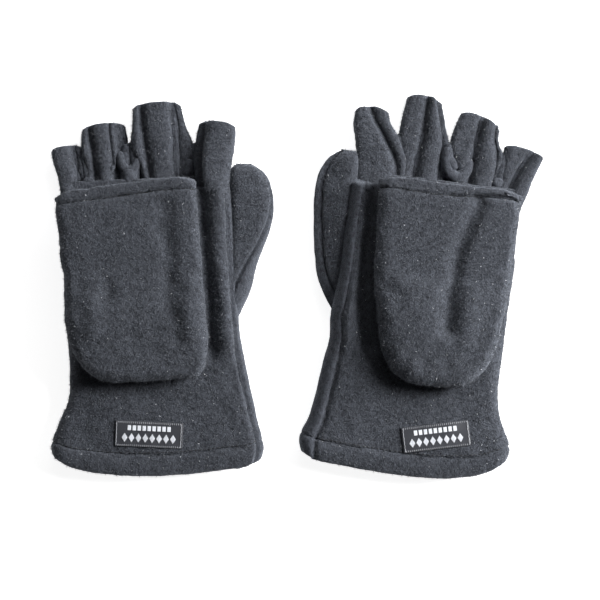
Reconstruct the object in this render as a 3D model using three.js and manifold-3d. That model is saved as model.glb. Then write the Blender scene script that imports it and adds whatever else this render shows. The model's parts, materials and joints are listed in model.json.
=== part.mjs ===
// A pair of convertible flip-top mittens in charcoal fleece, lying palm down on a flat surface.
// Each mitten is a fingerless glove with a closed thumb, and a mitten cap hinged at a seam across the knuckles.
// Here both caps are folded back onto the hand. Millimetres, +Z up, +X to the right, +Y towards the fingers.
import * as THREE from "three";
import { mergeVertices } from "three/addons/utils/BufferGeometryUtils.js";
import Module from "manifold-3d";

const wasm = await Module();
wasm.setup();

// ---------------------------------------------------------------- driving dimensions
const fleece = 2.2; // one layer of fabric
const seamGap = 0.3; // clearance between two sewn edges
const threadWidth = 0.8; // a sewn line of thread, seen from above
const threadDepth = 0.7;

const fingerWidth = { little: 19, ring: 22, middle: 25, index: 25 }; // each stall laid flat
const fingerGap = 1.5; // between neighbouring stalls at the knuckles
const fingerHollow = 4.9; // free height inside a stall
const fourchetteLip = 3.4; // how far a fourchette shows on the flat of the stall

const handLength = 166; // cuff edge to knuckle seam
const cuffWidth = 115;
const cuffHeight = 15.4;
const cuffHem = 14; // depth of the folded hem
const cuffShift = 0.5; // how far the cuff's middle lies towards the thumb
const cuffSag = { little: 12, thumb: 6 }; // how much the cuff edge's ends curve up from its middle
const wristWidth = 102;
const wristAt = 50;
const wristShift = 3;
const palmAt = 80; // from here to the knuckles the hand keeps its width

const thumbLength = 76; // hinge to tip
const thumbWidth = 23.5;
const thumbBaseWidth = 10;
const thumbHeight = 14;
const thumbAt = 97; // distance of the thumb's hinge from the cuff edge
const thumbHole = { length: 32, height: 9.2, from: 6 }; // the wearer's way from the hand into the thumb

const capLength = 113;
const capWidth = 80;
const capOverhang = 1; // past the hand's little-finger side
const capMouth = 5.8; // free height at the cap's mouth
const capPuff = 9.5; // free height where the cap is fullest
const capHem = 7;
const capTipRound = 15; // length over which the cap's top comes down at its tip
const puffSlope = 14; // length over which the cap's top rises from its mouth's height to its full one
const stallClearance = 4; // from the longest stall's end to that slope, with the cap turned over

const label = { width: 38, height: 15, thickness: 0.8, fromHem: 2.2, x: -4 };

const pairGap = 15; // clear width between the two mittens as they lie

// How each mitten lies: its turn, the stalls' lengths and leans (positive towards the little finger) and the two
// corners of its cap's tip, as lengths across and along the cap. The right mitten mirrors the left one.
const lies = {
  left: {
    turn: 2.7,
    mirror: 1,
    fingers: {
      little: { length: 20, lean: 12 },
      ring: { length: 32, lean: 12 },
      middle: { length: 42, lean: -2 },
      index: { length: 31, lean: -17 },
    },
    tip: { little: { across: 24, along: 27 }, thumb: { across: 12, along: 14 } },
    labelTurn: -4,
  },
  right: {
    turn: -6.7,
    mirror: -1,
    fingers: {
      little: { length: 22, lean: 20 },
      ring: { length: 38, lean: 8 },
      middle: { length: 46, lean: -4 },
      index: { length: 36, lean: -14 },
    },
    tip: { little: { across: 30, along: 28 }, thumb: { across: 36, along: 70 } },
    labelTurn: -12,
  },
};

// ---------------------------------------------------------------- sizes that follow from them
const fingerNames = ["little", "ring", "middle", "index"];
const fingerHeight = fingerHollow + 2 * fleece;
const palmWidth = fingerNames.reduce((sum, name) => sum + fingerWidth[name], 0) + 4 * fingerGap;
const palmHalf = palmWidth / 2;
// Turned over, the cap lies on the stalls, so its hinge stands that much higher than they do.
const hingeHeight = fingerHeight + seamGap + fleece + capMouth + seamGap + fleece / 2;
const handHeight = hingeHeight - fleece / 2 - seamGap;
const longestFinger = Math.max(
  ...Object.values(lies).flatMap((lie) => Object.values(lie.fingers).map((finger) => finger.length)),
);

// ---------------------------------------------------------------- geometry tools
function toSolid(geometry) {
  const bare = geometry.clone();
  bare.deleteAttribute("normal");
  bare.deleteAttribute("uv");
  const merged = mergeVertices(bare, 1e-4);
  return new wasm.Manifold(
    new wasm.Mesh({
      numProp: 3,
      vertProperties: merged.attributes.position.array,
      triVerts: new Uint32Array(merged.index.array),
    }),
  );
}

function toGeometry(solid) {
  const mesh = solid.getMesh();
  const geometry = new THREE.BufferGeometry();
  geometry.setAttribute("position", new THREE.BufferAttribute(mesh.vertProperties, 3));
  geometry.setIndex(new THREE.BufferAttribute(mesh.triVerts, 1));
  return geometry;
}

function fromGrid(points, faces) {
  const geometry = new THREE.BufferGeometry().setFromPoints(points);
  geometry.setIndex(faces);
  return geometry;
}

// A flattened tube's section has flat faces above and below and half-round sides. Distances run round it from the
// middle of its thumb side: up that side, across the top, down the little-finger side and back below.
function zonesOf(station) {
  const round = station.height / 2;
  const quarter = (Math.PI * round) / 2;
  const flat = Math.max(0.01, 2 * (station.half - round));
  return { round, quarter, flat, perimeter: 4 * quarter + 2 * flat };
}

function sectionPoint(station, distance, inset) {
  const { round, quarter, flat, perimeter } = zonesOf(station);
  const s = ((distance % perimeter) + perimeter) % perimeter;
  const reach = round - inset;
  let x;
  let z;
  if (s <= quarter || s >= 3 * quarter + 2 * flat) {
    const angle = s <= quarter ? s / round : (s - perimeter) / round;
    x = flat / 2 + reach * Math.cos(angle);
    z = reach * Math.sin(angle);
  } else if (s < quarter + flat) {
    x = flat / 2 - (s - quarter);
    z = reach;
  } else if (s <= 3 * quarter + flat) {
    const angle = Math.PI / 2 + (s - quarter - flat) / round;
    x = -flat / 2 + reach * Math.cos(angle);
    z = reach * Math.sin(angle);
  } else {
    x = -flat / 2 + (s - 3 * quarter - flat);
    z = -reach;
  }
  const share = x / station.half;
  const bow = (share < 0 ? station.bowLittle : station.bowThumb) * share * share;
  const turn = station.lean;
  return new THREE.Vector3(
    station.x + x * Math.cos(turn),
    station.y + x * Math.sin(turn) + bow,
    station.base + round + z,
  );
}

function station(values) {
  return { x: 0, y: 0, base: 0, lean: 0, bowLittle: 0, bowThumb: 0, ...values };
}

// Where a wall is sampled: at its ends, at each change from flat to round between them, and evenly inside each zone.
function samplesOf(place, from, to, arcSteps, flatSteps) {
  const { quarter, flat, perimeter } = zonesOf(place);
  const marks = [];
  for (const turnBase of [-perimeter, 0]) {
    for (const mark of [quarter, quarter + flat, 3 * quarter + flat, 3 * quarter + 2 * flat]) {
      marks.push(turnBase + mark);
    }
  }
  const inside = marks.filter((mark) => mark > from + 0.05 && mark < to - 0.05);
  const stops = [from, ...inside, to];
  const samples = [from];
  for (let k = 0; k + 1 < stops.length; k++) {
    const middle = (stops[k] + stops[k + 1]) / 2;
    const wrapped = ((middle % perimeter) + perimeter) % perimeter;
    const onTop = wrapped > quarter && wrapped < quarter + flat;
    const below = wrapped > 3 * quarter + flat && wrapped < 3 * quarter + 2 * flat;
    const steps = onTop || below ? flatSteps : arcSteps;
    for (let i = 1; i <= steps; i++) {
      samples.push(stops[k] + ((stops[k + 1] - stops[k]) * i) / steps);
    }
  }
  return samples;
}

// A wall of fabric: part of a flattened tube's skin, from one distance round its section to another.
function wall(stations, span, thickness, arcSteps = 4, flatSteps = 2) {
  const points = [];
  let count = 0;
  for (const place of stations) {
    const [from, to] = span(place);
    const samples = samplesOf(place, from, to, arcSteps, flatSteps);
    count = samples.length;
    for (const s of samples) {
      points.push(sectionPoint(place, s, 0), sectionPoint(place, s, thickness));
    }
  }
  const at = (row, column, inner) => (row * count + column) * 2 + inner;
  const faces = [];
  const quad = (a, b, c, d) => faces.push(a, b, c, a, c, d);
  const last = stations.length - 1;
  for (let row = 0; row < last; row++) {
    for (let i = 0; i + 1 < count; i++) {
      quad(at(row, i, 0), at(row, i + 1, 0), at(row + 1, i + 1, 0), at(row + 1, i, 0));
      quad(at(row, i, 1), at(row + 1, i, 1), at(row + 1, i + 1, 1), at(row, i + 1, 1));
    }
    quad(at(row, 0, 1), at(row, 0, 0), at(row + 1, 0, 0), at(row + 1, 0, 1));
    quad(at(row, count - 1, 0), at(row, count - 1, 1), at(row + 1, count - 1, 1), at(row + 1, count - 1, 0));
  }
  for (let i = 0; i + 1 < count; i++) {
    quad(at(0, i, 0), at(0, i, 1), at(0, i + 1, 1), at(0, i + 1, 0));
    quad(at(last, i, 0), at(last, i + 1, 0), at(last, i + 1, 1), at(last, i, 1));
  }
  return facingOut(fromGrid(points, faces));
}

// A solid through whole sections, or through their upper halves only.
function loft(stations, upperHalf = false, arcSteps = 4, flatSteps = 2) {
  const points = [];
  let count = 0;
  for (const place of stations) {
    const { perimeter } = zonesOf(place);
    const samples = samplesOf(place, 0, upperHalf ? perimeter / 2 : perimeter, arcSteps, flatSteps);
    if (!upperHalf) {
      samples.pop();
    }
    count = samples.length;
    points.push(...samples.map((s) => sectionPoint(place, s, 0)));
  }
  const faces = [];
  const last = stations.length - 1;
  for (let row = 0; row < last; row++) {
    for (let i = 0; i < count; i++) {
      const a = row * count + i;
      const b = row * count + ((i + 1) % count);
      faces.push(a, b, b + count, a, b + count, a + count);
    }
  }
  for (let i = 1; i + 1 < count; i++) {
    faces.push(0, i + 1, i, last * count, last * count + i, last * count + i + 1);
  }
  return facingOut(fromGrid(points, faces));
}

// Turns a closed geometry's faces round if they point inwards.
function facingOut(geometry) {
  const index = Array.from(geometry.index.array);
  const position = geometry.attributes.position;
  const corner = (k) => new THREE.Vector3().fromBufferAttribute(position, index[k]);
  let volume = 0;
  for (let k = 0; k < index.length; k += 3) {
    volume += corner(k).dot(corner(k + 1).cross(corner(k + 2)));
  }
  if (volume < 0) {
    for (let k = 0; k < index.length; k += 3) {
      [index[k + 1], index[k + 2]] = [index[k + 2], index[k + 1]];
    }
    geometry.setIndex(index);
  }
  return geometry;
}

function box(width, depth, height, x, y, z) {
  return toSolid(new THREE.BoxGeometry(width, depth, height).translate(x, y, z));
}

const wide = 400; // larger than any piece

function above(z) {
  return box(wide, wide, wide, 0, 0, z + wide / 2);
}

function below(z) {
  return box(wide, wide, wide, 0, 0, z - wide / 2);
}

// ---------------------------------------------------------------- the hand
const handKeys = [
  { y: 0, half: cuffWidth / 2, x: cuffShift, height: cuffHeight, bowLittle: cuffSag.little, bowThumb: cuffSag.thumb },
  {
    y: cuffHem,
    half: cuffWidth / 2,
    x: cuffShift,
    height: cuffHeight,
    bowLittle: 0.8 * cuffSag.little,
    bowThumb: 0.5 * cuffSag.thumb,
  },
  { y: wristAt, half: wristWidth / 2, x: wristShift, height: cuffHeight, bowLittle: 0, bowThumb: 0 },
  { y: palmAt, half: palmHalf, x: 0, height: handHeight, bowLittle: 0, bowThumb: 0 },
  { y: handLength, half: palmHalf, x: 0, height: handHeight, bowLittle: 0, bowThumb: 0 },
];

// The hand's section at a distance from the cuff edge, eased from each key section to the next.
function handAt(y) {
  const upper = Math.max(1, handKeys.findIndex((key) => key.y >= y - 1e-9));
  const low = handKeys[upper - 1];
  const high = handKeys[upper];
  const share = (y - low.y) / (high.y - low.y);
  const eased = THREE.MathUtils.smoothstep(share, 0, 1);
  const mixed = { y };
  for (const key of ["half", "x", "height", "bowLittle", "bowThumb"]) {
    mixed[key] = THREE.MathUtils.lerp(low[key], high[key], eased);
  }
  return station(mixed);
}

function handStations(from, to, steps) {
  return Array.from({ length: steps + 1 }, (_, i) => handAt(from + ((to - from) * i) / steps));
}

const backSpan = (place) => [seamGap / 2, zonesOf(place).perimeter / 2 - seamGap / 2];
const palmSpan = (place) => [zonesOf(place).perimeter / 2 + seamGap / 2, zonesOf(place).perimeter - seamGap / 2];

const thumbHingeX = palmHalf + seamGap + thumbBaseWidth / 2;
const hemTop = cuffHem - seamGap - threadWidth / 2;
const panelStart = cuffHem + seamGap + threadWidth / 2;

// The hole runs through the hand's thumb side and the thumb's inner wall, for the wearer's thumb.
function thumbHoleSolid() {
  const reach = 4 * fleece;
  const hole = new THREE.CylinderGeometry(1, 1, 2 * reach, 16);
  hole.rotateZ(Math.PI / 2);
  hole.scale(1, thumbHole.length / 2, thumbHole.height / 2);
  hole.translate(palmHalf + seamGap, thumbAt + thumbHole.from + thumbHole.length / 2, thumbHeight / 2);
  return toSolid(hole);
}

function backPanel() {
  const skin = toSolid(wall(handStations(panelStart, handLength, 12), backSpan, fleece, 4, 4));
  // Where the cap hinges, the back comes down to the stalls in a short upright wall.
  const end = [handAt(handLength - fleece), handAt(handLength)];
  const knuckleWall = toSolid(loft(end)).intersect(above(fingerHeight + seamGap));
  return toGeometry(skin.add(knuckleWall).subtract(thumbHoleSolid()));
}

function palmPanel() {
  const skin = toSolid(wall(handStations(panelStart, handLength, 12), palmSpan, fleece, 4, 4));
  return toGeometry(skin.subtract(thumbHoleSolid()));
}

const hemThickness = 1.4 * fleece;

function cuffHemHalf(span) {
  return wall(handStations(0, hemTop, 2), span, hemThickness, 4, 6);
}

function cuffThread() {
  const middle = (place) => [seamGap, zonesOf(place).perimeter - seamGap];
  const line = [handAt(cuffHem - threadWidth / 2), handAt(cuffHem + threadWidth / 2)];
  return wall(line, middle, threadDepth, 4, 6);
}

// ---------------------------------------------------------------- the fingers
// Each stall starts square to the knuckle seam and then leans over. Its sections follow its middle line.
function stallStations(name, lie) {
  const order = fingerNames.indexOf(name);
  const before = fingerNames.slice(0, order).reduce((sum, other) => sum + fingerWidth[other] + fingerGap, 0);
  let x = -palmHalf + fingerGap / 2 + before + fingerWidth[name] / 2;
  let y = handLength + seamGap;
  const steps = 4;
  const { length, lean } = lie.fingers[name];
  const stations = [];
  for (let i = 0; i <= steps; i++) {
    const heading = THREE.MathUtils.degToRad(lean) * THREE.MathUtils.smoothstep(i / steps, 0, 0.5);
    if (i > 0) {
      x -= (length / steps) * Math.sin(heading);
      y += (length / steps) * Math.cos(heading);
    }
    stations.push(station({ x, y, half: fingerWidth[name] / 2, height: fingerHeight, lean: heading }));
  }
  return stations;
}

// The back and palm strips end where a fourchette starts, or meet each other along the hand's outer sides.
function stripSpan(name, onBack) {
  const openToThumb = name === "index";
  const openToLittle = name === "little";
  return (place) => {
    const { quarter, flat, perimeter } = zonesOf(place);
    const gap = seamGap / 2;
    const lip = quarter + fourchetteLip;
    if (onBack) {
      return [openToThumb ? gap : lip + gap, perimeter / 2 - (openToLittle ? gap : lip + gap)];
    }
    return [perimeter / 2 + (openToLittle ? gap : lip + gap), perimeter - (openToThumb ? gap : lip + gap)];
  };
}

function fingerStrip(name, lie, onBack) {
  return wall(stallStations(name, lie), stripSpan(name, onBack), fleece, 3, 1);
}

// A fourchette is the narrow strip along a stall's side that faces its neighbour.
function fourchette(name, lie, onThumbSide) {
  const span = (place) => {
    const { quarter, perimeter } = zonesOf(place);
    const middle = onThumbSide ? 0 : perimeter / 2;
    const reach = quarter + fourchetteLip - seamGap / 2;
    return [middle - reach, middle + reach];
  };
  return wall(stallStations(name, lie), span, fleece, 3, 1);
}

// ---------------------------------------------------------------- the thumb
// A closed stall whose inner edge runs straight beside the hand, and whose base and tip are round.
function thumbStations(inset) {
  const places = [];
  const baseRound = thumbBaseWidth / 2;
  const add = (along, halfWidth, height) => {
    const half = Math.max(0.4, halfWidth - inset);
    const thick = Math.min(height - 2 * inset, 2 * half - 0.02);
    const x = thumbHingeX - baseRound + halfWidth;
    places.push(station({ x, y: thumbAt + along, half, height: thick, base: (thumbHeight - thick) / 2 }));
  };
  for (const angle of [80, 50, 20]) {
    const turn = THREE.MathUtils.degToRad(angle);
    const halfWidth = baseRound * Math.cos(turn);
    const x = thumbHingeX;
    const half = Math.max(0.4, halfWidth - inset);
    const thick = Math.min(thumbHeight - 2 * inset, 2 * half - 0.02);
    const y = thumbAt - (baseRound - inset) * Math.sin(turn);
    places.push(station({ x, y, half, height: thick, base: (thumbHeight - thick) / 2 }));
  }
  const full = thumbWidth / 2;
  const straight = thumbLength - full;
  for (const share of [0, 0.2, 0.4, 0.65, 0.85, 1]) {
    const eased = THREE.MathUtils.smoothstep(share, 0, 0.85);
    add(share * straight, THREE.MathUtils.lerp(baseRound, full, eased), thumbHeight);
  }
  for (const angle of [25, 50, 70, 84]) {
    const turn = THREE.MathUtils.degToRad(angle);
    const half = Math.max(0.4, (full - inset) * Math.cos(turn));
    const thick = Math.min(thumbHeight - 2 * inset, 2 * half - 0.02);
    const y = thumbAt + straight + (full - inset) * Math.sin(turn);
    const x = thumbHingeX - baseRound + full;
    places.push(station({ x, y, half, height: thick, base: (thumbHeight - thick) / 2 }));
  }
  return places;
}

function thumbShell() {
  const outer = toSolid(loft(thumbStations(0)));
  const inner = toSolid(loft(thumbStations(fleece)));
  return outer.subtract(inner).subtract(thumbHoleSolid());
}

// ---------------------------------------------------------------- the cap
// The cap's plan, from its mouth at the hinge to its tip: straight sides and two rounded corners.
function capStations(tip, inset, height) {
  const length = capLength - inset;
  const little = -palmHalf - capOverhang + inset;
  const thumb = -palmHalf - capOverhang + capWidth - inset;
  const corner = (size, distance) => {
    const along = size.along - inset;
    const across = size.across - inset;
    const share = Math.min(1, distance / along);
    return across * (1 - Math.sqrt(Math.max(0, 1 - (1 - share) ** 2)));
  };
  // Beside the stalls' length the cap is low, so that it can lie on them, and past their ends it is full.
  const low = longestFinger + stallClearance;
  const full = length - low - puffSlope;
  const rows = [0.3, 2, 5, 9, 14, 20, 30, 40].filter((distance) => distance < full - 2);
  rows.push(full, full + puffSlope / 2, full + puffSlope);
  rows.push(length - 0.75 * low, length - 0.5 * low, length);
  return rows.map((distance) => {
    const left = little + corner(tip.little, distance);
    const right = thumb - corner(tip.thumb, distance);
    const half = (right - left) / 2;
    const round = Math.min(1, distance / (capTipRound - inset));
    const lowness = THREE.MathUtils.smoothstep(distance, full, full + puffSlope);
    const rise = THREE.MathUtils.lerp(height.puff, height.mouth, lowness);
    const tall = Math.max(0.4, rise * Math.sqrt(1 - (1 - round) ** 2));
    return station({
      x: (left + right) / 2,
      y: handLength - length + distance,
      half,
      height: 2 * Math.min(tall, half - 0.02),
    });
  });
}

const capFloor = hingeHeight + fleece / 2 + seamGap;
const capMouthEnd = handLength - seamGap;

// Half sections stand on the cap's floor, so each is lowered by half its own height.
function onFloor(stations, floor) {
  return stations.map((place) => ({ ...place, base: floor - place.height / 2 }));
}

const archSpan = (place) => [0, zonesOf(place).perimeter / 2];

function capTopPanel(tip) {
  const heights = { mouth: capMouth + fleece, puff: capPuff + fleece };
  const hollow = { mouth: capMouth, puff: capPuff };
  const outer = toSolid(loft(onFloor(capStations(tip, 0, heights), capFloor), true));
  const innerStations = capStations(tip, fleece, hollow);
  const mouth = innerStations[innerStations.length - 1];
  innerStations.push({ ...mouth, y: mouth.y + 5 });
  const inner = toSolid(loft(onFloor(innerStations, capFloor - 0.01), true));
  const end = capMouthEnd - capHem - threadWidth - 2 * seamGap;
  const beforeHem = box(wide, wide, wide, 0, end - wide / 2, 0);
  return toGeometry(outer.subtract(inner).intersect(beforeHem));
}

function capMouthStation(y, rise) {
  const half = capWidth / 2;
  return station({
    x: -palmHalf - capOverhang + half,
    y,
    half,
    height: 2 * rise,
    base: capFloor - rise,
  });
}

function capMouthHem() {
  const rise = capMouth + fleece;
  const ends = [capMouthEnd - capHem, capMouthEnd].map((y) => capMouthStation(y, rise));
  return wall(ends, archSpan, hemThickness, 5, 4);
}

function capHemThread() {
  const rise = capMouth + fleece;
  const middle = capMouthEnd - capHem - seamGap - threadWidth / 2;
  const ends = [middle - threadWidth / 2, middle + threadWidth / 2].map((y) => capMouthStation(y, rise));
  return wall(ends, archSpan, threadDepth, 5, 4);
}

const hingeRadius = 0.4 * fleece;

function capUnderPanel(tip) {
  const rows = capStations(tip, 0, { mouth: fleece, puff: fleece });
  const shape = new THREE.Shape();
  const mouthY = handLength - hingeRadius - seamGap;
  const sideAt = (row, side) => new THREE.Vector2(row.x + side * row.half, Math.min(row.y, mouthY));
  const outline = [...rows.map((row) => sideAt(row, 1)), ...rows.reverse().map((row) => sideAt(row, -1))];
  shape.setFromPoints(outline);
  const panel = new THREE.ExtrudeGeometry(shape, { depth: fleece, bevelEnabled: false });
  return panel.translate(0, 0, hingeHeight - fleece / 2);
}

// The rolled seam across the knuckles that the cap turns on.
function capHingeSeam() {
  const seam = new THREE.CylinderGeometry(hingeRadius, hingeRadius, capWidth - 2, 12);
  seam.rotateZ(Math.PI / 2);
  return seam.translate(-palmHalf - capOverhang + capWidth / 2, handLength, hingeHeight);
}

// ---------------------------------------------------------------- the label
function labelPatch(turn) {
  const patch = new THREE.BoxGeometry(label.width, label.height, label.thickness);
  patch.rotateZ(THREE.MathUtils.degToRad(turn));
  const lift = (label.width / 2) * Math.abs(Math.sin(THREE.MathUtils.degToRad(turn)));
  const y = panelStart + label.fromHem + lift + label.height / 2;
  return patch.translate(label.x, y, cuffHeight + seamGap + label.thickness / 2);
}

// ---------------------------------------------------------------- materials and assembly
const fleeceCharcoal = new THREE.MeshStandardMaterial({ color: 0x363a41, roughness: 0.95, metalness: 0 });
const threadBlack = new THREE.MeshStandardMaterial({ color: 0x1c1e22, roughness: 0.6, metalness: 0 });
const labelWoven = new THREE.MeshStandardMaterial({ color: 0x15161a, roughness: 0.5, metalness: 0 });

function buildMitten(side, lie) {
  const mitten = new THREE.Group();
  const add = (name, geometry, material) => {
    const mesh = new THREE.Mesh(geometry, material);
    mesh.name = `${side}_${name}`;
    mitten.add(mesh);
  };
  add("back_panel", backPanel(), fleeceCharcoal);
  add("palm_panel", palmPanel(), fleeceCharcoal);
  add("cuff_hem_back", cuffHemHalf(backSpan), fleeceCharcoal);
  add("cuff_hem_palm", cuffHemHalf(palmSpan), fleeceCharcoal);
  add("cuff_hem_thread", cuffThread(), threadBlack);
  for (const name of fingerNames) {
    add(`${name}_finger_back`, fingerStrip(name, lie, true), fleeceCharcoal);
    add(`${name}_finger_palm`, fingerStrip(name, lie, false), fleeceCharcoal);
  }
  for (let i = 0; i + 1 < fingerNames.length; i++) {
    add(`${fingerNames[i]}_thumbward_fourchette`, fourchette(fingerNames[i], lie, true), fleeceCharcoal);
    add(`${fingerNames[i + 1]}_outward_fourchette`, fourchette(fingerNames[i + 1], lie, false), fleeceCharcoal);
  }
  const shell = thumbShell();
  const thumbSeam = thumbHeight / 2;
  add("thumb_back", toGeometry(shell.intersect(above(thumbSeam + seamGap / 2))), fleeceCharcoal);
  add("thumb_palm", toGeometry(shell.intersect(below(thumbSeam - seamGap / 2))), fleeceCharcoal);
  add("cap_top_panel", capTopPanel(lie.tip), fleeceCharcoal);
  add("cap_mouth_hem", capMouthHem(), fleeceCharcoal);
  add("cap_hem_thread", capHemThread(), threadBlack);
  add("cap_under_panel", capUnderPanel(lie.tip), fleeceCharcoal);
  add("cap_hinge_seam", capHingeSeam(), threadBlack);
  add("label", labelPatch(lie.labelTurn), labelWoven);
  mitten.scale.x = lie.mirror;
  mitten.rotation.z = THREE.MathUtils.degToRad(lie.turn);
  mitten.updateMatrixWorld(true);
  const extent = new THREE.Box3().setFromObject(mitten, true);
  mitten.position.x = side === "left" ? -pairGap / 2 - extent.max.x : pairGap / 2 - extent.min.x;
  return mitten;
}

const pair = new THREE.Group();
for (const [side, lie] of Object.entries(lies)) {
  pair.add(buildMitten(side, lie));
}

// The origin is the middle of the pair's footprint, on the surface that it lies on.
pair.updateMatrixWorld(true);
const bounds = new THREE.Box3().setFromObject(pair, true);
const centre = bounds.getCenter(new THREE.Vector3());
pair.position.set(-centre.x, -centre.y, -bounds.min.z);

const model = new THREE.Group();
model.add(pair);
export default model;
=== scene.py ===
import json
import math

import bpy
import bmesh
import numpy as np
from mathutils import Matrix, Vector
from mathutils.bvhtree import BVHTree


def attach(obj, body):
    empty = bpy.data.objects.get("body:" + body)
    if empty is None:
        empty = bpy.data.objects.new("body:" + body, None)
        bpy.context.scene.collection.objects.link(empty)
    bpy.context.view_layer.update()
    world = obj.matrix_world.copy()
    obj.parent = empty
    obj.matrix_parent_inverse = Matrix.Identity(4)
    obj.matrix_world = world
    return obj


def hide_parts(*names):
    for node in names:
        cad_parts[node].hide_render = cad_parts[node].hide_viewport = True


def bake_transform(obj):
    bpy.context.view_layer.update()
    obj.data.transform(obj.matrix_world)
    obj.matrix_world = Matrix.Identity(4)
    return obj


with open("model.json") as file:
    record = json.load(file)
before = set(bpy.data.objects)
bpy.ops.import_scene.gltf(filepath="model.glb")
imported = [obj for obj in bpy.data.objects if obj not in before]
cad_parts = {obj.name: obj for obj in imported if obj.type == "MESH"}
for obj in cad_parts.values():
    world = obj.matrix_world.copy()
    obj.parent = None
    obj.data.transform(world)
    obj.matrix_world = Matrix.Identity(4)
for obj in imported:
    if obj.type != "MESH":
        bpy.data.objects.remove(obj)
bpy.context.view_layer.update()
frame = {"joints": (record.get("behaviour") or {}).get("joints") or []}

# Sizes are in millimetres in each mitten's own axes: x to the thumb, y from cuff to fingers, z up.
mm = 0.001

build = {
    "fleece": 2.2,  # thickness of one layer
    "knuckles": 166.0,  # cuff edge to the cap's seam
    "capSeamX": -9.5,  # middle of the cap's seam
    "spacing": 1.25,  # size of the mesh's faces
}

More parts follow.
